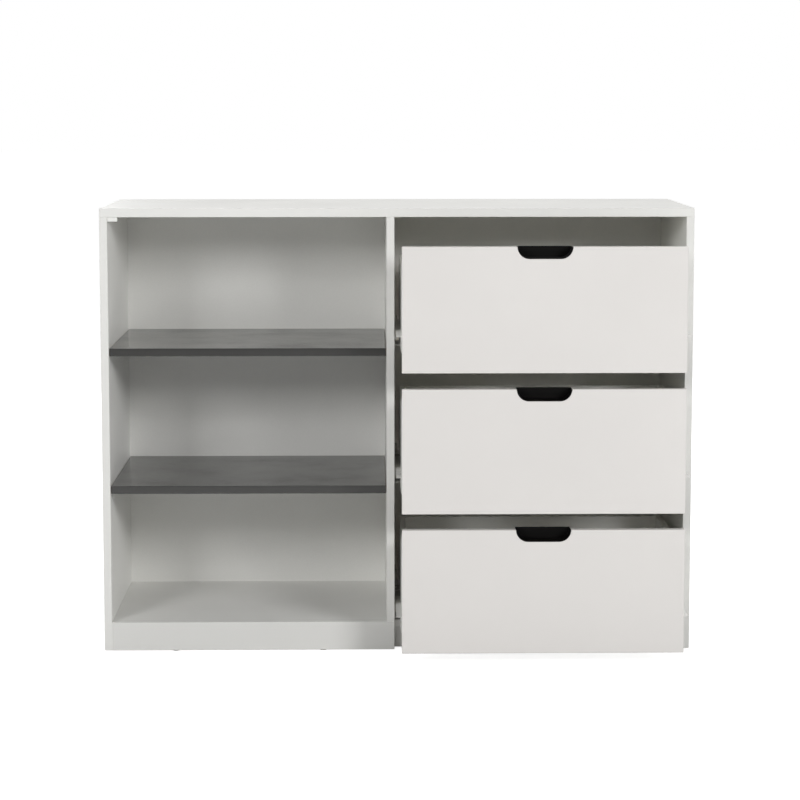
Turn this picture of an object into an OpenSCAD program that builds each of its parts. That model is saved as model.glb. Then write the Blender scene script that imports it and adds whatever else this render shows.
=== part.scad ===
// Sideboard with an open shelf bay on the left and three drawers on roller slides on the right.
// Millimetres. X runs along the width, the front faces -Y and Z is up from the floor.
// The origin is the middle of the footprint on the floor, with the drawers standing open by rest_open.

/* [Overall] */
// Width over the two side panels
body_w = 1200; // [960:10:1500]
// Height from the floor to the top surface
body_h = 908; // [740:2:1120]
// Depth from the front edges to the back edges
body_d = 400; // [330:5:500]
// How far all three drawers stand open
rest_open = 125; // [0:5:200]

/* [Carcass] */
// Thickness of the sides, divider, bottom, shelves and plinths
board_t = 16; // [13:0.5:22]
// Thickness of the top panel
top_t = 18; // [14:0.5:25]
// Height of the bay floor above the ground
floor_h = 60; // [48:1:90]
// How much wider the drawer bay is than the shelf bay
bay_extra = 28; // [0:2:80]
// Thickness of the back panels
back_t = 3; // [2.5:0.5:5]
// Distance from the back edges to the rear face of the back panels
back_inset = 10; // [6:1:16]
// Depth of the grooves that hold the back panels
groove_depth = 5; // [3:0.5:5]
// How far the plinth under the drawers stands behind the bottom panel's front edge
plinth_recess = 4; // [2:1:20]
// Height of the floor glides
glide_t = 2; // [1:0.5:4]

/* [Shelves] */
// Gap between a shelf's end and the upright beside it
shelf_gap = 1; // [0.5:0.5:2]
// Distance from the front edges to a shelf's front edge
shelf_setback = 3; // [1:1:20]
// Distance of the shelf pins from the shelf's front and back edges
pin_inset = 42; // [30:1:60]
// Diameter of a shelf pin
pin_d = 5; // [4:0.5:6]

/* [Drawers] */
// Thickness of a drawer front
front_t = 16; // [13:0.5:22]
// Height of the lowest front's bottom edge above the ground
front_bottom = 24; // [20:1:44]
// Gap between two drawer fronts
front_gap = 32; // [20:1:40]
// Gap between the top drawer front and the top panel
top_gap = 52; // [40:1:70]
// Gap behind a closed front
close_gap = 2; // [1:0.5:4]
// Gap between the bay floor and the lowest drawer's box
box_clear = 4; // [3:0.5:8]
// How far the box's top edge is below the front's top edge
box_drop = 40; // [36:1:50]
// Thickness of the box's sides and back
side_t = 12; // [11:0.5:16]
// Thickness of the drawer base
base_t = 3.5; // [3:0.5:6]
// Gap between the slide's screws and the base above them
base_clear = 3; // [1:0.5:8]
// Depth of the grooves that hold the base
base_groove = 5; // [3:0.5:6]

/* [Finger notch] */
// Width of the notch's flat bottom
notch_flat = 62; // [50:1:120]
// Depth of the notch, and the radius of its two lower corners
notch_depth = 24; // [18:1:30]
// Wall of the liner in the notch
liner_wall = 1.6; // [1.2:0.2:3]
// Gap between the liner and the edge of the notch
liner_fit = 0.15; // [0.1:0.05:0.4]
// How far the liner reaches behind the front
liner_reach = 22; // [18:1:35]
// Width of the liner's flange behind the front
liner_flange = 13; // [12:1:18]

/* [Slides] */
// Gap between the drawer and the upright on each side, which holds the slide
slide_gap = 13; // [12.5:0.1:16]
// Step in which slides come, in length
slide_step = 50; // [25:25:50]
// Length of a slide that stays behind when the drawer is fully out
slide_overlap = 60; // [56:1:100]
// Sheet thickness of the rails
rail_t = 1.2; // [1:0.1:1.5]
// Height of the cabinet rail
rail_h = 27; // [26:0.5:34]
// Diameter of the front roller, fixed to the cabinet rail
front_roller_d = 22; // [18:0.5:27]
// Running clearance of a roller in or under a rail
roller_gap = 0.3; // [0.2:0.1:0.6]
// Diameter of a roller's axle
axle_d = 5; // [4:0.5:6]
// Radial clearance of a roller on its axle
axle_fit = 0.05; // [0.02:0.01:0.1]
// Distance of the front roller from the rail's front end
roller_inset = 13; // [12:1:18]
// How far the front roller stands above the cabinet rail
roller_rise = 3; // [2:0.5:6]

/* [Fixings] */
// Diameter of a dowel
dowel_d = 8; // [6:1:8]
// Length of a dowel
dowel_len = 28; // [26:1:35]
// Board left behind a blind hole
hole_cover = 5; // [4:0.5:6]
// Diameter of a cam housing in the carcass
cam_d = 15; // [12:1:15]
// Distance of a carcass cam from the joint
cam_reach = 34; // [24:1:34]
// Width of a corner block, from the upright outwards
block_w = 20; // [16:1:26]
// Length of a corner block along the depth
block_l = 24; // [22:1:34]
// Height of a corner block
block_h = 9; // [8:0.5:12]

/* [Hidden] */
$fn = 64;
LEVELS = ["bottom", "middle", "top"];
SIDES = ["left", "right"];

// Clearances
peg_fit = 0.05;      // radial, round any peg, pin or screw in its hole
end_gap = 0.5;       // at the end of a blind hole
sheet_fit = 0.2;     // either side of a sheet in its groove
sheet_end_gap = 0.5; // between a sheet's edge and its groove's bottom
head_relief = 0.5;   // over a screw head
end_space = 3;       // between a corner block and the board's edge or the back panel
back_gap = 1;        // between a shelf and the back panel
rail_space = 0.1;    // between the flanges of the two rails of a slide
flange_space = 1.5;  // between the front roller and the rail's upper flange
hub_gap = 1;         // between a roller and the rail it turns on

// The carcass, with y counted from its front edges
front_y = (rest_open - body_d) / 2;
inner_l = board_t - body_w / 2;
inner_r = body_w / 2 - board_t;
under_top = body_h - top_t;
shelf_bay_w = (body_w - 3 * board_t - bay_extra) / 2;
divider_l = inner_l + shelf_bay_w;
divider_r = divider_l + board_t;
divider_x = divider_l + board_t / 2;
drawer_bay_w = inner_r - divider_r;
drawer_x = (divider_r + inner_r) / 2;
under_floor = floor_h - board_t;
back_y = body_d - back_inset - back_t;
plinth_t = front_t + close_gap;
inner_plinth_y = plinth_t + plinth_recess;
rear_rail_y = back_y - board_t;
upright_hole = board_t - hole_cover;
shelf_space = (under_top - floor_h - 2 * board_t) / 3;

// Screws, each as [shank diameter, head diameter, head height]
BLOCK_SCREW = [3.5, 6.5, 2.5];
DIVIDER_SCREW = [5, 9, 3.5];
SLIDE_SCREW = [3.5, 6, 1];
BACK_SCREW = [4, 8, 3];
LINER_SCREW = [3, 6, 1.5];
divider_screw_len = 50;
back_screw_len = 40;

// A cam bolt's diameters, and the height of its head
bolt_thread_d = 5;
bolt_shank_d = 4;
bolt_head_d = 6;
bolt_head_h = 3;
bolt_setback = 2;    // from its head to the cam's axis
cam_cover = 3.5;     // board left over a cam in the carcass

// A nail in the back panel
nail_d = 1.6;
nail_bite = 12;
nail_head_d = 4;
nail_head_h = 0.6;

// Where the fixings stand in the carcass, from the edges of the boards that they hold
top_dowels_y = [60, body_d - 60];
floor_dowels_y = [110, body_d - 130];
cams_y = [60, body_d - 80];
divider_screws_y = [110, body_d - 110];
plinth_dowel_inset = 70;
recessed_dowel_inset = 80;
rear_dowel_inset = 100;
nail_inset = 30;
side_glides_y = [40, body_d - 40];
plinth_glide_inset = 130;
rear_glide_inset = 160;
deep_block_setback = 150;
pin_bite = upright_hole - 2;
pin_stand = 4;       // of the pin's peg out of the upright
pin_tongue = 10;     // of the plate under the shelf
pin_sheet = 1.5;
glide_peg = [3, 12]; // diameter and height

// The slides, with z counted from the drawer box's bottom edge
slide_setback = 1;
rear_roller_inset = 15;
slide_y = front_t + slide_setback;
slide_len = floor((back_y - slide_y) / slide_step) * slide_step;
slide_travel = slide_len - slide_overlap;
rail_reach = slide_gap - 2 * rail_t - rail_space;
roller_w = slide_gap - 6;
rear_roller_d = rail_h - 2 * rail_t - 2 * roller_gap;
rear_roller_y = slide_y + slide_len - rear_roller_inset;
rear_roller_z = rail_h / 2;
front_roller_y = slide_y + roller_inset;
front_roller_z = rail_h + roller_rise - front_roller_d / 2;
runner_z = rail_h + roller_rise + roller_gap;
stop_h = 5;
stop_reach = sqrt(pow(rear_roller_d / 2, 2) - pow(rear_roller_z - rail_t - stop_h, 2)) + roller_gap;
axle_head_d = axle_d + 3;
axle_head_h = 0.8;
axle_play = 0.2;
hub_recess = 1.4;
rail_screws_at = [45, slide_len / 2, slide_len - 45];
drawer_rail_foot = 10;
rail_screw_lead = 10; // by which the drawer rail's screws stand ahead of the cabinet rail's
screw_cover = 3;      // of board in front of such a screw's tip

// The drawers, with x counted from the bay's middle and z from the front's bottom edge
front_w = drawer_bay_w - 2 * slide_gap;
front_h = (under_top - top_gap - 2 * front_gap - front_bottom) / 3;
box_raise = floor_h + box_clear - front_bottom;
box_h = front_h - box_raise - box_drop;
box_back = front_t + slide_len;
notch_w = notch_flat + 2 * notch_depth;
side_fixings_z = [box_raise + 55, box_raise + box_h - 25];
base_z = box_raise + rail_h / 2 + SLIDE_SCREW[0] / 2 + base_clear;
front_cam_d = 12;
front_cam_reach = 24;
front_cam_cover = 2.5;
flange_t = 2;
flange_hang = 8;     // below the notch
flange_drop = 0.5;   // from the front's top edge to the top of the liner
liner_screw_drop = 16;
liner_setback = 0.4; // of the liner's lip behind the front's face

function front_z(level) = front_bottom + level * (front_h + front_gap);

DRAWER_PARTS = ["front", "left_side", "right_side", "back", "base", "pull_liner",
    "left_rail", "right_rail", "rollers", "fixings"];

// Shared shapes

module board(from, to) {
    translate(from) cube(to - from);
}

// A dowel along Z that reaches into the piece above z = 0
module dowel(into, cut) {
    extra = cut ? end_gap : 0;
    translate([0, 0, into - dowel_len - extra])
        cylinder(d = dowel_d + (cut ? 2 * peg_fit : 0), h = dowel_len + 2 * extra);
}

// A screw along -Z with the top of its head at z = 0, and a cross slot in it
module screw(length, size, cut) {
    play = cut ? 2 * peg_fit : 0;
    head_d = size[1];
    head_h = size[2];
    slot_w = 1;
    difference() {
        union() {
            translate([0, 0, -head_h])
                cylinder(d = head_d + play, h = head_h + (cut ? head_relief : 0));
            translate([0, 0, -length - (cut ? end_gap : 0)])
                cylinder(d = size[0] + play, h = length - head_h + (cut ? 2 * end_gap : 0.1));
        }
        if (!cut)
            for (turn = [0, 90])
                rotate(turn)
                    translate([-head_d / 3, -slot_w / 2, -head_h * 0.6])
                        cube([head_d / 1.5, slot_w, head_h]);
    }
}

// A cam housing standing on z = 0, with its tool slot underneath
module cam(d, h, cut) {
    slot_w = 1.5;
    slot_h = 2;
    difference() {
        cylinder(d = d + (cut ? 2 * peg_fit : 0), h = h + (cut ? end_gap : 0));
        if (!cut)
            for (turn = [45, 135])
                rotate(turn)
                    translate([-d / 3, -slot_w / 2, -slot_h])
                        cube([d / 1.5, slot_w, 2 * slot_h]);
    }
}

// A cam's bolt along Z: its thread reaches into the piece above z = 0, its head to -reach
module cam_bolt(into, reach, cut) {
    play = cut ? 2 * peg_fit : 0;
    extra = cut ? end_gap : 0;
    translate([0, 0, -0.1])
        cylinder(d = bolt_thread_d + play, h = into + 0.1 + extra);
    translate([0, 0, -reach])
        cylinder(d = bolt_shank_d + play, h = reach);
    translate([0, 0, -reach - extra])
        cylinder(d = bolt_head_d + play, h = bolt_head_h + 2 * extra);
}

// A roller along Z with a recess for its axle's head at the far end and a ring groove at the near one
module roller(d) {
    groove_r = d / 2 - 3.2;
    groove = [1.2, 0.8];
    difference() {
        cylinder(d = d, h = roller_w);
        translate([0, 0, -1])
            cylinder(d = axle_d + 2 * axle_fit, h = roller_w + 2);
        translate([0, 0, roller_w - hub_recess])
            cylinder(d = axle_head_d + 1, h = hub_recess + 1);
        rotate_extrude()
            translate([groove_r, -groove[1]])
                square([groove[0], 2 * groove[1]]);
    }
}

// The axle that carries a roller, standing on z = 0
module axle() {
    length = hub_gap + roller_w - hub_recess + axle_play;
    cylinder(d = axle_d, h = length);
    translate([0, 0, length])
        cylinder(d = axle_head_d, h = axle_head_h);
}

module in_carcass() {
    translate([0, front_y, 0]) children();
}

module pulled_out() {
    translate([0, front_y - rest_open, 0]) children();
}

module in_drawer(level) {
    pulled_out() translate([drawer_x, 0, front_z(level)]) children();
}

// Drawn for the left slide with x counted from the upright, and mirrored for the right one
module in_slide(side, level) {
    translate([side == 0 ? divider_r : inner_r, 0, front_z(level) + box_raise])
        mirror([side, 0, 0]) children();
}

module each_side() {
    for (m = [0, 1]) mirror([m, 0, 0]) children();
}

// Places of the fixings in the carcass

module dowels(cut) {
    // top panel on the sides and the divider
    for (x = [inner_l - board_t / 2, divider_x, inner_r + board_t / 2], y = top_dowels_y)
        translate([x, y, under_top]) dowel(top_t - hole_cover, cut);
    // bottom panel in the sides
    for (y = floor_dowels_y) {
        translate([inner_l, y, floor_h - board_t / 2]) rotate([0, -90, 0]) dowel(upright_hole, cut);
        translate([inner_r, y, floor_h - board_t / 2]) rotate([0, 90, 0]) dowel(upright_hole, cut);
    }
    // left plinth on the bottom panel's front edge
    for (x = [inner_l + plinth_dowel_inset, (inner_l + divider_l) / 2, divider_l - plinth_dowel_inset])
        translate([x, plinth_t, floor_h - board_t / 2]) rotate([90, 0, 0])
            dowel(plinth_t - hole_cover, cut);
    // right plinth and rear rail under the bottom panel
    for (x = [divider_r + recessed_dowel_inset, inner_r - recessed_dowel_inset])
        translate([x, inner_plinth_y + board_t / 2, under_floor]) dowel(upright_hole, cut);
    for (x = [inner_l + rear_dowel_inset, inner_r - rear_dowel_inset])
        translate([x, rear_rail_y + board_t / 2, under_floor]) dowel(upright_hole, cut);
    // plinths and rear rail in the sides
    for (y = [plinth_t / 2, rear_rail_y + board_t / 2])
        translate([inner_l, y, under_floor / 2]) rotate([0, -90, 0]) dowel(upright_hole, cut);
    for (y = [inner_plinth_y, rear_rail_y])
        translate([inner_r, y + board_t / 2, under_floor / 2]) rotate([0, 90, 0])
            dowel(upright_hole, cut);
}

module at_cams() {
    for (y = cams_y) {
        translate([inner_l, y, under_floor]) children();
        translate([inner_r, y, under_floor]) mirror([1, 0, 0]) children();
    }
}

module cams(cut) {
    at_cams() translate([cam_reach, 0, 0]) cam(cam_d, board_t - cam_cover, cut);
}

module bolts(cut) {
    at_cams() translate([0, 0, board_t / 2]) rotate([0, -90, 0])
        cam_bolt(upright_hole, cam_reach - bolt_setback, cut);
}

// Corner blocks, with x counted outwards from the upright
module at_blocks() {
    for (y = [end_space, back_y - block_l - end_space])
        translate([inner_l, y, under_top - block_h]) children();
    for (y = [deep_block_setback, back_y - block_l - end_space]) {
        translate([divider_r, y, under_top - block_h]) children();
        translate([inner_r, y, under_top - block_h]) mirror([1, 0, 0]) children();
    }
}

module block_screws(cut) {
    at_blocks() {
        translate([block_w * 0.6, block_l * 0.28, 0]) rotate([180, 0, 0])
            screw(block_h + top_t - hole_cover, BLOCK_SCREW, cut);
        translate([block_w, block_l * 0.72, block_h / 2]) rotate([0, 90, 0])
            screw(block_w + upright_hole, BLOCK_SCREW, cut);
    }
}

module divider_screws(cut) {
    for (y = divider_screws_y)
        translate([divider_x, y, under_floor]) rotate([180, 0, 0])
            screw(divider_screw_len, DIVIDER_SCREW, cut);
}

module rail_screws(cut) {
    for (level = [0:2], side = [0, 1], y = rail_screws_at)
        in_slide(side, level)
            translate([rail_t + SLIDE_SCREW[2], slide_y + y, rail_h / 2]) rotate([0, 90, 0])
                screw(SLIDE_SCREW[2] + rail_t + upright_hole - 1, SLIDE_SCREW, cut);
}

module screws(cut) {
    block_screws(cut);
    divider_screws(cut);
    rail_screws(cut);
}

// Nails along -Y through a back panel into the bottom panel's rear edge
module nails(cut) {
    play = cut ? 2 * peg_fit : 0;
    length = back_t + nail_bite + (cut ? end_gap : 0);
    for (bay = [[inner_l, divider_l], [divider_r, inner_r]], n = [0:3])
        translate([bay[0] + nail_inset + n * (bay[1] - bay[0] - 2 * nail_inset) / 3,
                back_y + back_t, floor_h - board_t / 2])
            rotate([-90, 0, 0]) {
                translate([0, 0, -length]) cylinder(d = nail_d + play, h = length);
                if (!cut) cylinder(d = nail_head_d, h = nail_head_h);
            }
}

module at_glides() {
    for (x = [inner_l - board_t / 2, inner_r + board_t / 2], y = side_glides_y)
        translate([x, y, 0]) children();
    for (x = [inner_l + plinth_glide_inset, divider_l - plinth_glide_inset])
        translate([x, plinth_t / 2, 0]) children();
    translate([drawer_x, inner_plinth_y + board_t / 2, 0]) children();
    for (x = [inner_l + rear_glide_inset, inner_r - rear_glide_inset])
        translate([x, rear_rail_y + board_t / 2, 0]) children();
    translate([divider_x, body_d / 2, 0]) children();
}

module glides(cut) {
    at_glides() {
        if (!cut) cylinder(d = board_t - 2, h = glide_t);
        translate([0, 0, glide_t - 0.1])
            cylinder(d = glide_peg[0] + (cut ? 2 * peg_fit : 0), h = glide_peg[1] + (cut ? end_gap : 0));
    }
}

// Shelf pins, each a peg in the upright with a tongue under the shelf
module at_pins() {
    for (n = [1, 2], y = [shelf_setback + pin_inset, back_y - pin_inset])
        for (m = [0, 1])
            translate([m == 0 ? inner_l : divider_l, y, shelf_z(n)]) mirror([m, 0, 0]) children();
}

module pins(cut) {
    play = cut ? 2 * peg_fit : 0;
    at_pins() {
        translate([-pin_bite - (cut ? end_gap : 0), 0, -pin_d / 2]) rotate([0, 90, 0])
            cylinder(d = pin_d + play, h = pin_bite + pin_stand + (cut ? end_gap : 0));
        if (!cut) {
            board([shelf_gap, -pin_d, -pin_sheet], [shelf_gap + pin_tongue, pin_d, 0]);
            board([shelf_gap, -pin_d, -pin_d / 2 - 1], [shelf_gap + pin_sheet, pin_d, 0]);
        }
    }
}

function shelf_z(n) = floor_h + n * shelf_space + (n - 1) * board_t;

module carcass_holes() {
    dowels(true);
    cams(true);
    bolts(true);
    screws(true);
    nails(true);
    glides(true);
    pins(true);
}

module drilled() {
    in_carcass()
        difference() {
            children();
            carcass_holes();
        }
}

// The groove for the back panels, as wide as both bays with their grooves
module back_groove(x0, x1, top) {
    board([x0 - groove_depth, back_y - sheet_fit, glide_t - 1],
        [x1 + groove_depth, back_y + back_t + sheet_fit, top]);
}

// The carcass

module top_panel() {
    color([0.90, 0.90, 0.88]) drilled()
        difference() {
            board([-body_w / 2, 0, under_top], [body_w / 2, body_d, body_h]);
            back_groove(inner_l, inner_r, under_top + groove_depth);
        }
}

module side_panel(x0) {
    color([0.87, 0.87, 0.85]) drilled()
        difference() {
            board([x0, 0, glide_t], [x0 + board_t, body_d, under_top]);
            back_groove(inner_l, inner_r, under_top + 1);
        }
}

module centre_divider() {
    color([0.87, 0.87, 0.85]) drilled()
        difference() {
            board([divider_l, 0, floor_h], [divider_r, body_d, under_top]);
            back_groove(inner_l, divider_l, under_top + 1);
            back_groove(divider_r, inner_r, under_top + 1);
        }
}

module bottom_panel() {
    color([0.86, 0.86, 0.84]) drilled()
        board([inner_l, plinth_t, under_floor], [inner_r, back_y, floor_h]);
}

module left_plinth() {
    color([0.84, 0.84, 0.82]) drilled()
        board([inner_l, 0, glide_t], [divider_r, plinth_t, floor_h]);
}

module right_plinth() {
    color([0.84, 0.84, 0.82]) drilled()
        board([divider_l, inner_plinth_y, glide_t], [inner_r, inner_plinth_y + board_t, under_floor]);
}

module rear_rail() {
    color([0.84, 0.84, 0.82]) drilled()
        board([inner_l, rear_rail_y, glide_t], [inner_r, back_y, under_floor]);
}

module centre_support() {
    color([0.84, 0.84, 0.82]) drilled()
        board([divider_l, inner_plinth_y + board_t, glide_t], [divider_r, rear_rail_y, under_floor]);
}

module back_panel(x0, x1) {
    reach = groove_depth - sheet_end_gap;
    color([0.82, 0.82, 0.80]) in_carcass()
        difference() {
            board([x0 - reach, back_y, under_floor + 2], [x1 + reach, back_y + back_t, under_top + reach]);
            nails(true);
        }
}

module shelf(n) {
    color([0.27, 0.27, 0.26]) in_carcass()
        board([inner_l + shelf_gap, shelf_setback, shelf_z(n)],
            [divider_l - shelf_gap, back_y - back_gap, shelf_z(n) + board_t]);
}

module shelf_pins() {
    color([0.75, 0.76, 0.77]) in_carcass() pins(false);
}

module corner_blocks() {
    color([0.93, 0.93, 0.91]) in_carcass()
        difference() {
            at_blocks() cube([block_w, block_l, block_h]);
            block_screws(true);
        }
}

module wood_dowels() {
    color([0.80, 0.66, 0.46]) in_carcass() dowels(false);
}

module cam_housings() {
    color([0.70, 0.71, 0.72]) in_carcass()
        difference() {
            cams(false);
            bolts(true);
        }
}

module cam_bolts() {
    color([0.72, 0.73, 0.74]) in_carcass() bolts(false);
}

module carcass_screws() {
    color([0.72, 0.73, 0.74]) in_carcass() screws(false);
}

module back_nails() {
    color([0.70, 0.71, 0.72]) in_carcass() nails(false);
}

module floor_glides() {
    color([0.80, 0.80, 0.79]) in_carcass() glides(false);
}

// The slides

// C-shaped rail on the upright: the drawer's rear roller runs in it, the front roller stands on its web
module cabinet_rail(level, side) {
    flange_y = front_roller_y + front_roller_d / 2 + flange_space;
    color([0.92, 0.92, 0.90]) in_carcass()
        difference() {
            in_slide(side, level) {
                board([0, slide_y, 0], [rail_t, slide_y + slide_len, rail_h]);
                board([0, slide_y, 0], [rail_reach, slide_y + slide_len, rail_t]);
                board([0, flange_y, rail_h - rail_t], [rail_reach, slide_y + slide_len, rail_h]);
                rail_stop(rear_roller_y - slide_travel - stop_reach - rail_t);
                rail_stop(rear_roller_y + stop_reach);
                translate([0, front_roller_y, front_roller_z]) rotate([0, 90, 0])
                    translate([0, 0, rail_t / 2]) axle_from_web();
            }
            rail_screws(true);
        }
}

// A tongue bent up from the lower flange, which stops the rear roller
module rail_stop(y) {
    board([2 * rail_t, y, 0], [rail_reach, y + rail_t, rail_t + stop_h]);
}

module axle_from_web() {
    cylinder(d = axle_d, h = rail_t / 2 + 0.1);
    translate([0, 0, rail_t / 2]) axle();
}

module cabinet_rollers(level) {
    color([0.90, 0.90, 0.88]) in_carcass()
        for (side = [0, 1])
            in_slide(side, level)
                translate([rail_t + hub_gap, front_roller_y, front_roller_z]) rotate([0, 90, 0])
                    roller(front_roller_d);
}

// Angled rail on the drawer side: it hooks under the side and rides on the front roller
module drawer_rail(level, side) {
    color([0.92, 0.92, 0.90])
        difference() {
            pulled_out() in_slide(side, level) {
                board([slide_gap - rail_t, front_t, -rail_t], [slide_gap, box_back, runner_z + rail_t]);
                board([slide_gap - rail_t, front_t, -rail_t], [slide_gap + drawer_rail_foot, box_back, 0]);
                board([2 * rail_t, front_t, runner_z], [slide_gap, box_back, runner_z + rail_t]);
                translate([slide_gap - rail_t / 2, rear_roller_y, rear_roller_z]) rotate([0, -90, 0])
                    axle_from_web();
            }
            in_drawer(level) drawer_rail_screws(true);
        }
}

module drawer_rollers(level) {
    color([0.90, 0.90, 0.88]) pulled_out()
        for (side = [0, 1])
            in_slide(side, level)
                translate([slide_gap - rail_t - hub_gap, rear_roller_y, rear_roller_z])
                    rotate([0, -90, 0]) roller(rear_roller_d);
}

// Places of the fixings in a drawer

module drawer_rail_screws(cut) {
    each_side()
        for (y = rail_screws_at)
            translate([-front_w / 2 - rail_t - SLIDE_SCREW[2], front_t + y - rail_screw_lead,
                    box_raise + rail_h / 2])
                rotate([0, -90, 0])
                    screw(SLIDE_SCREW[2] + rail_t + side_t - screw_cover, SLIDE_SCREW, cut);
}

module back_screws(cut) {
    each_side()
        for (z = side_fixings_z)
            translate([-front_w / 2, box_back - side_t / 2, z]) rotate([0, -90, 0])
                screw(back_screw_len, BACK_SCREW, cut);
}

module at_front_cams() {
    each_side()
        for (z = side_fixings_z)
            translate([side_t - front_w / 2, front_t, z]) children();
}

module front_cams(cut) {
    at_front_cams() translate([0, front_cam_reach, 0]) rotate([0, -90, 0])
        cam(front_cam_d, side_t - front_cam_cover, cut);
}

module front_bolts(cut) {
    at_front_cams() translate([-side_t / 2, 0, 0]) rotate([90, 0, 0])
        cam_bolt(front_t - hole_cover, front_cam_reach - bolt_setback, cut);
}

module liner_screws(cut) {
    each_side()
        translate([notch_w / 2 + liner_flange / 2, front_t + flange_t + LINER_SCREW[2],
                front_h - liner_screw_drop])
            rotate([-90, 0, 0])
                screw(LINER_SCREW[2] + flange_t + front_t - hole_cover, LINER_SCREW, cut);
}

module drawer_holes() {
    drawer_rail_screws(true);
    back_screws(true);
    front_cams(true);
    front_bolts(true);
    liner_screws(true);
}

module base_sheet(play, end_play) {
    reach = base_groove - sheet_end_gap + end_play;
    board([side_t - front_w / 2 - reach, front_t - reach, base_z - play],
        [front_w / 2 - side_t + reach, box_back - side_t + reach, base_z + base_t + play]);
}

// The notch's outline pushed back along Y from y0 to y1, with its open side at the front's top edge
module notch_shape(y0, y1, inset) {
    depth = notch_depth - inset;
    translate([0, y0, front_h]) {
        board([-notch_flat / 2, 0, -depth], [notch_flat / 2, y1 - y0, depth]);
        each_side()
            translate([notch_flat / 2, y1 - y0, 0]) rotate([90, 0, 0]) cylinder(r = depth, h = y1 - y0);
    }
}

module drawer_board() {
    difference() {
        children();
        base_sheet(sheet_fit, sheet_end_gap);
        drawer_holes();
    }
}

// The drawers

module drawer_front(level) {
    color([0.90, 0.89, 0.87]) in_drawer(level)
        drawer_board()
            difference() {
                board([-front_w / 2, 0, 0], [front_w / 2, front_t, front_h]);
                notch_shape(-1, front_t + 1, 0);
            }
}

module drawer_side(level, side) {
    color([0.88, 0.88, 0.86]) in_drawer(level)
        drawer_board()
            mirror([side, 0, 0])
                board([-front_w / 2, front_t, box_raise],
                    [side_t - front_w / 2, box_back, box_raise + box_h]);
}

module drawer_back(level) {
    color([0.88, 0.88, 0.86]) in_drawer(level)
        drawer_board()
            board([side_t - front_w / 2, box_back - side_t, box_raise],
                [front_w / 2 - side_t, box_back, box_raise + box_h]);
}

module drawer_base(level) {
    color([0.84, 0.84, 0.82]) in_drawer(level) base_sheet(0, 0);
}

// Cup that lines the notch and closes it behind, with a flange behind the front
module drawer_pull_liner(level) {
    cup_end = front_t + liner_reach;
    liner_top = front_h - flange_drop;
    color([0.04, 0.04, 0.04]) in_drawer(level)
        difference() {
            union() {
                notch_shape(liner_setback, cup_end, liner_fit);
                board([-notch_w / 2 - liner_flange, front_t, front_h - notch_depth - flange_hang],
                    [notch_w / 2 + liner_flange, front_t + flange_t, liner_top]);
            }
            notch_shape(-1, cup_end - liner_wall, liner_wall);
            board([-front_w / 2, -1, liner_top], [front_w / 2, cup_end + 1, front_h + notch_depth]);
            liner_screws(true);
        }
}

module drawer_fixings(level) {
    color([0.72, 0.73, 0.74]) in_drawer(level) {
        drawer_rail_screws(false);
        back_screws(false);
        liner_screws(false);
        front_bolts(false);
        difference() {
            front_cams(false);
            front_bolts(true);
        }
    }
}

top_panel();
side_panel(-body_w / 2);  // left_side_panel
side_panel(inner_r);  // right_side_panel
centre_divider();
bottom_panel();
left_plinth();
right_plinth();
rear_rail();
centre_support();
back_panel(inner_l, divider_l);  // left_back_panel
back_panel(divider_r, inner_r);  // right_back_panel
shelf(2);  // upper_shelf
shelf(1);  // lower_shelf
shelf_pins();
corner_blocks();
wood_dowels();
cam_housings();
cam_bolts();
carcass_screws();
back_nails();
floor_glides();
for (n = [0:2], s = [0, 1])
    cabinet_rail(n, s);
for (n = [0:2]) {
    cabinet_rollers(n);
    drawer_front(n);
    drawer_side(n, 0);
    drawer_side(n, 1);
    drawer_back(n);
    drawer_base(n);
    drawer_pull_liner(n);
    drawer_rail(n, 0);
    drawer_rail(n, 1);
    drawer_rollers(n);
    drawer_fixings(n);
}
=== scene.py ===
"""Looks of the sideboard: rounded board edges, procedural materials, studio light and camera."""
import math

import bpy
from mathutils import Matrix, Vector


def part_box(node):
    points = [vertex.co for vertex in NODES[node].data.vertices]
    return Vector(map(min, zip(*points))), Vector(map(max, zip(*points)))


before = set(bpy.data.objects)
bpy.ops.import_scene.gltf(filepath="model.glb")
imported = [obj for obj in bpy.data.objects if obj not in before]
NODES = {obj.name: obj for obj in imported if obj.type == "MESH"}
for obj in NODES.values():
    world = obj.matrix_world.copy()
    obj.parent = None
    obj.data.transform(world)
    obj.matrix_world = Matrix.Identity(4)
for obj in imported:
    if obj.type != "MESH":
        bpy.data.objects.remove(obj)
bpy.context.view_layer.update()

LEVELS = ("bottom", "middle", "top")
MM = 0.001

# board edges
FACE_DEPTH = 0.15 * MM     # how near a face of the box counts as on it
SEAM_IN = 0.95 * MM        # glue line to the nearest edge
SEAM_HALF = (0.05 * MM, 0.22 * MM)     # half the line's width, full and faded out
BOARD_ROUND = 0.8 * MM
LINER_ROUND = 0.4 * MM
RAIL_ROUND = 0.25 * MM
BLOCK_ROUND = 0.6 * MM
WELD_GAP = 0.01 * MM
FLAT_ANGLE = math.radians(0.4)
SHARP_ANGLE = math.radians(50)


# ---------------------------------------------------------------- shader building

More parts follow.
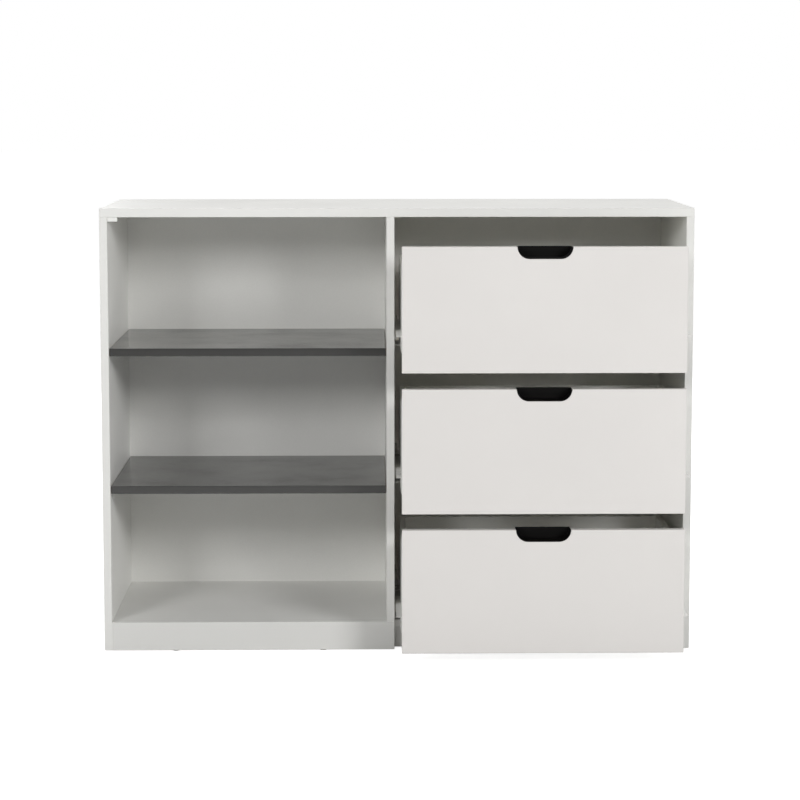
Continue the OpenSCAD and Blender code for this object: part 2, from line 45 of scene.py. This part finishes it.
class Tree:
    """A node tree being built. add() makes a node, sets or links its inputs and returns it."""

    def __init__(self, tree):
        self.tree = tree

    def add(self, kind, inputs=None, **settings):
        node = self.tree.nodes.new("ShaderNode" + kind)
        for name, value in settings.items():
            setattr(node, name, value)
        for key, value in (inputs or {}).items():
            if isinstance(value, bpy.types.NodeSocket):
                self.tree.links.new(value, node.inputs[key])
            else:
                node.inputs[key].default_value = value
        return node

    def math(self, operation, a, b=0.0, c=0.0):
        return self.add("Math", {0: a, 1: b, 2: c}, operation=operation).outputs[0]

    def noise(self, vector, scale, detail=2.0, rough=0.5, stretch=None):
        """Noise from 0 to 1, with scale in cycles per metre. stretch scales the axes first."""
        if stretch:
            scaled = self.add("VectorMath", {0: vector, 1: stretch}, operation="MULTIPLY")
            vector = scaled.outputs[0]
        node = self.add("TexNoise", {"Vector": vector, "Scale": scale, "Detail": detail,
                                     "Roughness": rough})
        return node.outputs["Fac"]

    def ramp(self, value, low, high, to_low=0.0, to_high=1.0):
        """value between low and high becomes to_low to to_high, smoothly."""
        node = self.add("MapRange", {"Value": value, "From Min": low, "From Max": high,
                                     "To Min": to_low, "To Max": to_high},
                        interpolation_type="SMOOTHSTEP")
        return node.outputs["Result"]

    def mix(self, factor, a, b, mode="MIX"):
        """Two colours mixed."""
        node = self.add("Mix", data_type="RGBA", blend_type=mode)
        given = ((node.inputs[0], factor), (node.inputs[6], a), (node.inputs[7], b))
        for socket, value in given:
            if isinstance(value, bpy.types.NodeSocket):
                self.tree.links.new(value, socket)
            elif isinstance(value, (int, float)):
                socket.default_value = value
            else:
                socket.default_value = (*value[:3], 1.0)
        return node.outputs[2]

    def shade(self, colour, amount):
        """The colour times a factor, which may vary over the surface."""
        grey = self.add("CombineColor", {0: amount, 1: amount, 2: amount}).outputs[0]
        return self.mix(1.0, colour, grey, "MULTIPLY")

    def bump(self, height, distance, strength=1.0, normal=None):
        inputs = {"Height": height, "Distance": distance, "Strength": strength}
        if normal is not None:
            inputs["Normal"] = normal
        return self.add("Bump", inputs).outputs["Normal"]


def edge_distance_group():
    """Node group: distance from a point on a box's surface to the box's nearest edge."""
    group = bpy.data.node_groups.new("box_edge_distance", "ShaderNodeTree")
    for name in ("Point", "Low", "High"):
        group.interface.new_socket(name, in_out="INPUT", socket_type="NodeSocketVector")
    group.interface.new_socket("Distance", in_out="OUTPUT", socket_type="NodeSocketFloat")
    t = Tree(group)
    start, end = group.nodes.new("NodeGroupInput"), group.nodes.new("NodeGroupOutput")
    point, low, high = start.outputs[:3]
    to_low = t.add("VectorMath", {0: point, 1: low}, operation="SUBTRACT").outputs[0]
    to_high = t.add("VectorMath", {0: high, 1: point}, operation="SUBTRACT").outputs[0]
    nearest = t.add("VectorMath", {0: to_low, 1: to_high}, operation="MINIMUM").outputs[0]
    x, y, z = t.add("SeparateXYZ", {0: nearest}).outputs
    # the middle one of the three distances is the one to the nearest edge
    middle = t.math("MAXIMUM", t.math("MINIMUM", x, y),
                    t.math("MINIMUM", t.math("MAXIMUM", x, y), z))
    group.links.new(middle, end.inputs[0])
    return group


EDGE_DISTANCE = edge_distance_group()


def material(name):
    """A new material, its tree, its shader and the object coordinates."""
    made = bpy.data.materials.new(name)
    made.use_nodes = True
    made.node_tree.nodes.clear()
    t = Tree(made.node_tree)
    shader = t.add("BsdfPrincipled")
    out = t.add("OutputMaterial")
    made.node_tree.links.new(shader.outputs[0], out.inputs["Surface"])
    point = t.add("TexCoord").outputs["Object"]
    return made, t, shader, point


def wire(t, shader, **values):
    """Sets or links the shader's inputs, named with underscores."""
    for name, value in values.items():
        socket = shader.inputs[name.replace("_", " ")]
        if isinstance(value, bpy.types.NodeSocket):
            t.tree.links.new(value, socket)
        elif name == "Base_Color":
            socket.default_value = (*value, 1.0)
        else:
            socket.default_value = value


def axis_mask(t, point, box, side):
    """1 on the face of the box that side names, such as -z, and 0 elsewhere."""
    axis = "xyz".index(side[1])
    value = t.add("SeparateXYZ", {0: point}).outputs[axis]
    if side[0] == "-":
        return t.math("LESS_THAN", value, box[0][axis] + FACE_DEPTH)
    return t.math("GREATER_THAN", value, box[1][axis] - FACE_DEPTH)


# ---------------------------------------------------------------- materials

WHITE = (0.860, 0.857, 0.830)
# the drawer fronts' white, darker than WHITE as painted shade against the frontal lights that fall
# on them
DRAWER_FRONT_PAINTED_SHADE_WHITE = (0.695, 0.675, 0.655)
ANTHRACITE = (0.062, 0.061, 0.059)
FITTING_WHITE = (0.80, 0.80, 0.775)
FITTING_GREY = (0.40, 0.40, 0.39)
# near black, darker than real black plastic: the liner's colour is partly its own black and partly
# painted shade for the deep shadow in the finger-pull notches
LINER_BLACK_PAINTED_SHADE = (0.0024, 0.0021, 0.0019)
NYLON_CREAM = (0.80, 0.775, 0.70)
BARE_STEEL = (0.42, 0.42, 0.41)
CHIP_LIGHT = (0.50, 0.36, 0.22)
CHIP_DARK = (0.24, 0.15, 0.085)
CHIP_DUST = (0.62, 0.49, 0.33)
ZINC_BLUE = (0.60, 0.62, 0.64)
ZINC_YELLOW = (0.66, 0.63, 0.56)
BEECH_LIGHT = (0.66, 0.46, 0.27)
BEECH_DARK = (0.50, 0.32, 0.17)
BEECH_FLECK = (0.30, 0.17, 0.09)

# painted shade: how much darker the boards' front faces are made than the foil, against the frontal
# lights that fall on them
FRONT_PAINTED_SHADE = 0.85
PLINTH_FRONT_PAINTED_SHADE = 0.78
SHELF_FRONT_PAINTED_SHADE = 0.80


def chipboard(t, point):
    """Colour and height of a sawn chipboard edge."""
    chips = t.add("TexVoronoi", {"Vector": point, "Scale": 520.0, "Randomness": 1.0})
    grain = t.noise(point, 900.0, 4.0, 0.7)
    tone = t.mix(chips.outputs["Distance"], CHIP_LIGHT, CHIP_DARK)
    tone = t.mix(t.ramp(grain, 0.3, 0.75), tone, CHIP_DUST)
    return tone, t.math("ADD", chips.outputs["Distance"], grain)


def foil(name, node, colour, raw, roughness, grime, front_shade):
    """Melamine-faced board: pearled foil, edge bands with their seams, and bare sawn edges.

    raw names the bare faces, grime says how marked the board is by use, and the last argument is
    painted shade: the tone that darkens the board's front face against the lights that fall on it."""
    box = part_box(node)
    made, t, shader, point = material(name)
    group = t.add("Group", node_tree=EDGE_DISTANCE)
    t.tree.links.new(point, group.inputs["Point"])
    group.inputs["Low"].default_value = box[0]
    group.inputs["High"].default_value = box[1]
    edge = group.outputs["Distance"]

    cloud = t.noise(point, 3.1, 3.0, 0.55)
    smudge = t.noise(point, 9.0, 5.0, 0.62)
    pearl = t.noise(point, 1150.0, 2.0, 0.5)
    fine = t.noise(point, 420.0, 3.0, 0.55)
    wobble = t.noise(point, 55.0, 3.0, 0.6)

    # tone: broad clouding, a little pearl contrast, and hand marks that dull the white
    tone = t.math("ADD", t.ramp(cloud, 0.25, 0.75, 0.985, 1.012),
                  t.ramp(pearl, 0.2, 0.8, -0.012, 0.012))
    tone = t.math("SUBTRACT", tone, t.ramp(smudge, 0.62, 0.86, 0.0, 0.022 * grime))
    # the glue line between face and edge band, a little uneven
    uneven = t.math("MULTIPLY_ADD", wobble, 0.25 * MM, edge)
    from_seam = t.math("ABSOLUTE", t.math("SUBTRACT", uneven, SEAM_IN))
    seam = t.math("SUBTRACT", 1.0, t.ramp(from_seam, *SEAM_HALF))
    tone = t.math("MULTIPLY", tone, t.math("MULTIPLY_ADD", seam, -0.16, 1.0))
    # wear: the very edge is rubbed in patches
    rub = t.math("MULTIPLY", t.ramp(edge, 0.15 * MM, 0.9 * MM, 1.0, 0.0),
                 t.ramp(t.noise(point, 38.0, 4.0, 0.7), 0.50, 0.72))
    # painted shade: the board's front face is darkened against the frontal lights that fall on it
    if front_shade != 1.0:
        front = axis_mask(t, point, box, "-y")
        tone = t.math("MULTIPLY", tone, t.math("MULTIPLY_ADD", front, front_shade - 1.0, 1.0))
    surface = t.shade(colour, tone)
    surface = t.mix(t.math("MULTIPLY", rub, 0.30), surface, tuple(0.72 * c for c in colour))

    rough = t.math("ADD", t.ramp(smudge, 0.3, 0.8, roughness - 0.04, roughness + 0.07),
                   t.ramp(fine, 0.3, 0.7, -0.03, 0.03))
    rough = t.math("ADD", rough, t.math("MULTIPLY", rub, 0.18))
    height = t.math("ADD", t.math("MULTIPLY", pearl, 0.6), t.math("MULTIPLY", fine, 0.4))
    normal = t.bump(height, 0.045 * MM, 0.55)
    normal = t.bump(t.math("SUBTRACT", 0.0, seam), 0.05 * MM, 0.8, normal)

    if raw:
        mask = axis_mask(t, point, box, raw[0])
        for side in raw[1:]:
            mask = t.math("MAXIMUM", mask, axis_mask(t, point, box, side))
        tone, relief = chipboard(t, point)
        surface = t.mix(mask, surface, tone)
        rough = t.math("MAXIMUM", rough, t.math("MULTIPLY", mask, 0.88))
        normal = t.bump(t.math("MULTIPLY", relief, mask), 0.35 * MM, 0.7, normal)
    wire(t, shader, Base_Color=surface, Roughness=rough, Normal=normal,
         IOR=1.50, Specular_IOR_Level=0.5)
    return made


def hardboard(name, colour):
    """Lacquered hardboard: one smooth lacquered face with the fibre showing faintly through."""
    made, t, shader, point = material(name)
    fibre = t.noise(point, 260.0, 5.0, 0.68)
    cloud = t.noise(point, 4.0, 4.0, 0.6)
    screen = t.noise(point, 1400.0, 2.0, 0.5)
    tone = t.math("ADD", t.ramp(cloud, 0.25, 0.75, 0.975, 1.015),
                  t.ramp(fibre, 0.25, 0.8, -0.02, 0.015))
    rough = t.ramp(fibre, 0.2, 0.8, 0.46, 0.60)
    normal = t.bump(t.math("ADD", fibre, t.math("MULTIPLY", screen, 0.4)), 0.09 * MM, 0.6)
    wire(t, shader, Base_Color=t.shade(colour, tone), Roughness=rough, Normal=normal,
         IOR=1.48, Specular_IOR_Level=0.40)
    return made


def epoxy_steel(name, colour):
    """Epoxy-coated sheet steel: fine orange peel, rubbed thin in small spots."""
    made, t, shader, point = material(name)
    peel = t.noise(point, 700.0, 2.0, 0.45)
    cloud = t.noise(point, 14.0, 3.0, 0.6)
    scuff = t.ramp(t.noise(point, 150.0, 5.0, 0.75, stretch=(1.0, 0.12, 1.0)), 0.63, 0.74)
    tone = t.shade(colour, t.ramp(cloud, 0.3, 0.7, 0.97, 1.01))
    tone = t.mix(t.math("MULTIPLY", scuff, 0.35), tone, BARE_STEEL)
    rough = t.math("ADD", t.ramp(cloud, 0.3, 0.7, 0.26, 0.36), t.math("MULTIPLY", scuff, 0.2))
    wire(t, shader, Base_Color=tone, Roughness=rough, Normal=t.bump(peel, 0.08 * MM, 0.5),
         IOR=1.55, Coat_Weight=0.25, Coat_Roughness=0.12)
    return made


def moulded(name, colour, roughness, grain=900.0, gloss=0.5):
    """Moulded plastic with a spark-eroded grain, dulled and polished in patches."""
    made, t, shader, point = material(name)
    erosion = t.noise(point, grain, 3.0, 0.6)
    cloud = t.noise(point, 30.0, 3.0, 0.6)
    tone = t.shade(colour, t.math("ADD", t.ramp(cloud, 0.3, 0.7, 0.95, 1.03),
                                  t.ramp(erosion, 0.2, 0.8, -0.03, 0.03)))
    rough = t.math("ADD", t.ramp(cloud, 0.25, 0.75, roughness - 0.05, roughness + 0.07),
                   t.ramp(erosion, 0.2, 0.8, -0.03, 0.05))
    wire(t, shader, Base_Color=tone, Roughness=rough, Normal=t.bump(erosion, 0.05 * MM, 0.6),
         IOR=1.49, Specular_IOR_Level=gloss)
    return made


def nylon(name):
    """Natural nylon roller: waxy, slightly translucent, with a dulled running track."""
    made, t, shader, point = material(name)
    track = t.noise(point, 300.0, 4.0, 0.65, stretch=(6.0, 0.6, 0.6))
    cloud = t.noise(point, 60.0, 2.0, 0.5)
    tone = t.shade(NYLON_CREAM, t.ramp(track, 0.25, 0.8, 0.90, 1.03))
    rough = t.math("ADD", t.ramp(cloud, 0.3, 0.7, 0.24, 0.34), t.ramp(track, 0.4, 0.8, 0.0, 0.12))
    wire(t, shader, Base_Color=tone, Roughness=rough, Normal=t.bump(track, 0.05 * MM, 0.5),
         IOR=1.53, Subsurface_Weight=0.18, Subsurface_Scale=0.002)
    shader.inputs["Subsurface Radius"].default_value = (1.0, 0.8, 0.6)
    return made


def zinc(name):
    """Zinc-plated steel: fine drawing lines and a faint blue and yellow passivation."""
    made, t, shader, point = material(name)
    lines = t.noise(point, 500.0, 4.0, 0.7, stretch=(1.0, 1.0, 4.0))
    bloom = t.noise(point, 90.0, 3.0, 0.6)
    tone = t.mix(t.ramp(bloom, 0.35, 0.65), ZINC_BLUE, ZINC_YELLOW)
    tone = t.shade(tone, t.ramp(lines, 0.2, 0.8, 0.88, 1.05))
    rough = t.math("ADD", t.ramp(bloom, 0.3, 0.7, 0.26, 0.40), t.ramp(lines, 0.2, 0.8, -0.05, 0.08))
    wire(t, shader, Base_Color=tone, Metallic=1.0, Roughness=rough,
         Normal=t.bump(lines, 0.03 * MM, 0.5))
    return made


def beech(name):
    """Bare beech dowel: straight grain with short dark flecks."""
    made, t, shader, point = material(name)
    grain = t.noise(point, 240.0, 5.0, 0.65, stretch=(1.0, 1.0, 0.15))
    fleck = t.ramp(t.noise(point, 700.0, 2.0, 0.5, stretch=(1.0, 1.0, 0.2)), 0.62, 0.72)
    tone = t.mix(t.ramp(grain, 0.3, 0.7), BEECH_LIGHT, BEECH_DARK)
    tone = t.mix(t.math("MULTIPLY", fleck, 0.5), tone, BEECH_FLECK)
    wire(t, shader, Base_Color=tone, Roughness=t.ramp(grain, 0.2, 0.8, 0.55, 0.72),
         Normal=t.bump(grain, 0.12 * MM, 0.6), Specular_IOR_Level=0.35)
    return made


# ---------------------------------------------------------------- finishing the CAD nodes

def finish_node(node, made):
    """Gives every slot of a CAD node's object one material."""
    piece = NODES[node]
    if not piece.material_slots:
        piece.data.materials.append(made)
    for place in piece.material_slots:
        place.material = made


def round_edges(node, width):
    """Rounds a board's sharp edges with modifiers, so that the CAD mesh itself stays as it is."""
    piece = NODES[node]
    weld = piece.modifiers.new("weld", "WELD")
    weld.merge_threshold = WELD_GAP
    flat = piece.modifiers.new("flat", "DECIMATE")
    flat.decimate_type = "DISSOLVE"
    flat.angle_limit = FLAT_ANGLE
    bevel = piece.modifiers.new("round", "BEVEL")
    bevel.width = width
    bevel.segments = 2
    bevel.limit_method = "ANGLE"
    bevel.angle_limit = SHARP_ANGLE
    bevel.use_clamp_overlap = False
    shade = piece.modifiers.new("shade", "WEIGHTED_NORMAL")
    shade.weight = 100
    shade.keep_sharp = False


BOARDS = {
    # node: (colour, bare sawn faces, roughness, grime, painted shade on the front face)
    "top_panel": (WHITE, (), 0.52, 1.3, FRONT_PAINTED_SHADE),
    "left_side_panel": (WHITE, ("-z", "+y"), 0.40, 1.0, FRONT_PAINTED_SHADE),
    "right_side_panel": (WHITE, ("-z", "+y"), 0.40, 1.0, FRONT_PAINTED_SHADE),
    "centre_divider": (WHITE, ("+y",), 0.40, 1.0, FRONT_PAINTED_SHADE),
    "bottom_panel": (WHITE, ("+y",), 0.36, 1.4, FRONT_PAINTED_SHADE),
    "left_plinth": (WHITE, ("-z",), 0.42, 1.8, PLINTH_FRONT_PAINTED_SHADE),
    "right_plinth": (WHITE, ("-z",), 0.42, 1.2, PLINTH_FRONT_PAINTED_SHADE),
    "rear_rail": (WHITE, ("-z",), 0.45, 1.2, 1.0),
    "centre_support": (WHITE, ("-z",), 0.45, 1.2, 1.0),
    "upper_shelf": (ANTHRACITE, ("-x", "+x", "+y"), 0.18, 1.2, SHELF_FRONT_PAINTED_SHADE),
    "lower_shelf": (ANTHRACITE, ("-x", "+x", "+y"), 0.18, 1.2, SHELF_FRONT_PAINTED_SHADE),
}
for level in LEVELS:
    # the drawer fronts take the darker front white, which is painted shade
    BOARDS[f"{level}_drawer_front"] = (DRAWER_FRONT_PAINTED_SHADE_WHITE, (), 0.38, 1.2, 1.0)
    for board in ("left_side", "right_side", "back"):
        BOARDS[f"{level}_drawer_{board}"] = (WHITE, ("-z",), 0.42, 0.8, 1.0)

for node, finish in BOARDS.items():
    finish_node(node, foil("foil_" + node, node, *finish))
    round_edges(node, BOARD_ROUND)

STEEL = epoxy_steel("white_epoxy_steel", FITTING_WHITE)
BACKING = hardboard("white_hardboard", WHITE)
# the pull liners are black moulded plastic, made near black as painted shade for the deep shadow in
# the finger-pull notches
LINER_BLACK_AND_SHADE_PLASTIC = moulded("black_and_shade_moulded", LINER_BLACK_PAINTED_SHADE, 0.62, 1100.0, gloss=0.12)
WHITE_PLASTIC = moulded("white_moulded", FITTING_WHITE, 0.36)
GREY_PLASTIC = moulded("grey_moulded", FITTING_GREY, 0.50)
NYLON = nylon("nylon_roller")
ZINC = zinc("zinc_steel")
BEECH = beech("beech_dowel")

OTHERS = {
    "left_back_panel": BACKING, "right_back_panel": BACKING, "shelf_pins": ZINC,
    "corner_blocks": WHITE_PLASTIC, "wood_dowels": BEECH, "cam_housings": ZINC, "cam_bolts": ZINC,
    "carcass_screws": ZINC, "back_nails": ZINC, "floor_glides": GREY_PLASTIC,
}
RAILS = ("cabinet_rail_left", "cabinet_rail_right", "drawer_left_rail", "drawer_right_rail")
for level in LEVELS:
    for rail in RAILS:
        OTHERS[f"{level}_{rail}"] = STEEL
    OTHERS[f"{level}_cabinet_rollers"] = NYLON
    OTHERS[f"{level}_drawer_rollers"] = NYLON
    OTHERS[f"{level}_drawer_base"] = BACKING
    OTHERS[f"{level}_drawer_pull_liner"] = LINER_BLACK_AND_SHADE_PLASTIC
    OTHERS[f"{level}_drawer_fixings"] = ZINC
for node, made in OTHERS.items():
    finish_node(node, made)
for level in LEVELS:
    round_edges(f"{level}_drawer_pull_liner", LINER_ROUND)
    for rail in RAILS:
        round_edges(f"{level}_{rail}", RAIL_ROUND)
round_edges("corner_blocks", BLOCK_ROUND)


# ---------------------------------------------------------------- stage, light and camera

FRONT_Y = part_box("left_side_panel")[0].y
MIDDLE = Vector((0.0, FRONT_Y, 0.45))
FLOOR_SIZE = 40.0          # half its side
FLOOR_COLOUR = (0.78, 0.78, 0.775, 1.0)
FLOOR_GLOW = 0.85
AMBIENT = 0.21             # the world's light on the object, where the camera sees 1
FRONT_BOX = (1.2, 0.85)
BACK_BOX = (1.6, 1.0)
TOP_BOX = (2.4, 0.8)
CAMERA_PLACE = (-0.067, FRONT_Y - 4.5, 1.134)
CAMERA_DOWN = 5.74         # degrees below level
CAMERA_RIGHT = 0.92        # degrees turned to the right


def make_floor():
    """A large pale floor. It looks brighter to the camera than it lights the object."""
    mesh = bpy.data.meshes.new("floor")
    corners = [(x * FLOOR_SIZE, y * FLOOR_SIZE, 0) for x, y in ((-1, -1), (1, -1), (1, 1), (-1, 1))]
    mesh.from_pydata(corners, [], [(0, 1, 2, 3)])
    floor = bpy.data.objects.new("floor", mesh)
    bpy.context.scene.collection.objects.link(floor)
    made = bpy.data.materials.new("pale_floor")
    made.use_nodes = True
    made.node_tree.nodes.clear()
    t = Tree(made.node_tree)
    matt = t.add("BsdfDiffuse", {"Color": FLOOR_COLOUR})
    seen = t.add("LightPath").outputs["Is Camera Ray"]
    strength = t.math("MULTIPLY", seen, FLOOR_GLOW)
    glow = t.add("Emission", {"Color": (1.0, 1.0, 1.0, 1.0), "Strength": strength})
    both = t.add("AddShader", {0: matt.outputs[0], 1: glow.outputs[0]})
    out = t.add("OutputMaterial")
    made.node_tree.links.new(both.outputs[0], out.inputs["Surface"])
    mesh.materials.append(made)


def make_world():
    """White behind everything, and a dim even light from all round."""
    world = bpy.data.worlds.new("studio")
    bpy.context.scene.world = world
    world.use_nodes = True
    world.node_tree.nodes.clear()
    t = Tree(world.node_tree)
    seen = t.add("LightPath").outputs["Is Camera Ray"]
    strength = t.math("MULTIPLY_ADD", seen, 1.0 - AMBIENT, AMBIENT)
    sky = t.add("Background", {"Color": (1.0, 1.0, 1.0, 1.0), "Strength": strength})
    out = t.add("OutputWorld")
    world.node_tree.links.new(sky.outputs[0], out.inputs["Surface"])


def softbox(name, place, aim, size, power):
    """A rectangular area light at place, facing aim."""
    light = bpy.data.lights.new(name, "AREA")
    light.shape = "RECTANGLE"
    light.size, light.size_y = size
    light.energy = power
    lamp = bpy.data.objects.new(name, light)
    bpy.context.scene.collection.objects.link(lamp)
    lamp.location = place
    lamp.rotation_euler = (Vector(aim) - Vector(place)).to_track_quat("-Z", "Y").to_euler()


def make_camera():
    """A view from in front, a little above the top, with a long lens."""
    lens = bpy.data.cameras.new("camera")
    lens.lens = 100.6
    lens.sensor_width = 36.0
    lens.shift_y = -0.10
    lens.clip_end = 200.0
    camera = bpy.data.objects.new("camera", lens)
    bpy.context.scene.collection.objects.link(camera)
    camera.location = CAMERA_PLACE
    camera.rotation_euler = (math.radians(90 - CAMERA_DOWN), 0.0, math.radians(-CAMERA_RIGHT))
    bpy.context.scene.camera = camera


def ring_light(name, azimuth, elevation, distance, size, power):
    """A softbox facing the object's middle, with angles in degrees. Azimuth 0 is in front."""
    turn, rise = math.radians(azimuth), math.radians(elevation)
    way = Vector((math.sin(turn) * math.cos(rise), -math.cos(turn) * math.cos(rise),
                  math.sin(rise)))
    softbox(name, MIDDLE + distance * way, MIDDLE, size, power)


make_floor()
make_world()
ring_light("right_box", 38.0, 20.5, 4.0, FRONT_BOX, 74.0)
ring_light("left_box", -36.0, 20.5, 4.0, FRONT_BOX, 57.0)
ring_light("back_box_right", 150.0, 14.0, 4.5, BACK_BOX, 34.0)
ring_light("back_box_left", 205.0, 14.0, 4.5, BACK_BOX, 40.0)
softbox("top_box", (0.0, FRONT_Y + 0.35, 2.9), (0.0, FRONT_Y + 0.3, 0.9), TOP_BOX, 27.0)
make_camera()
bpy.context.scene.view_settings.view_transform = "Standard"
bpy.context.scene.cycles.max_bounces = 14
bpy.context.scene.cycles.diffuse_bounces = 10
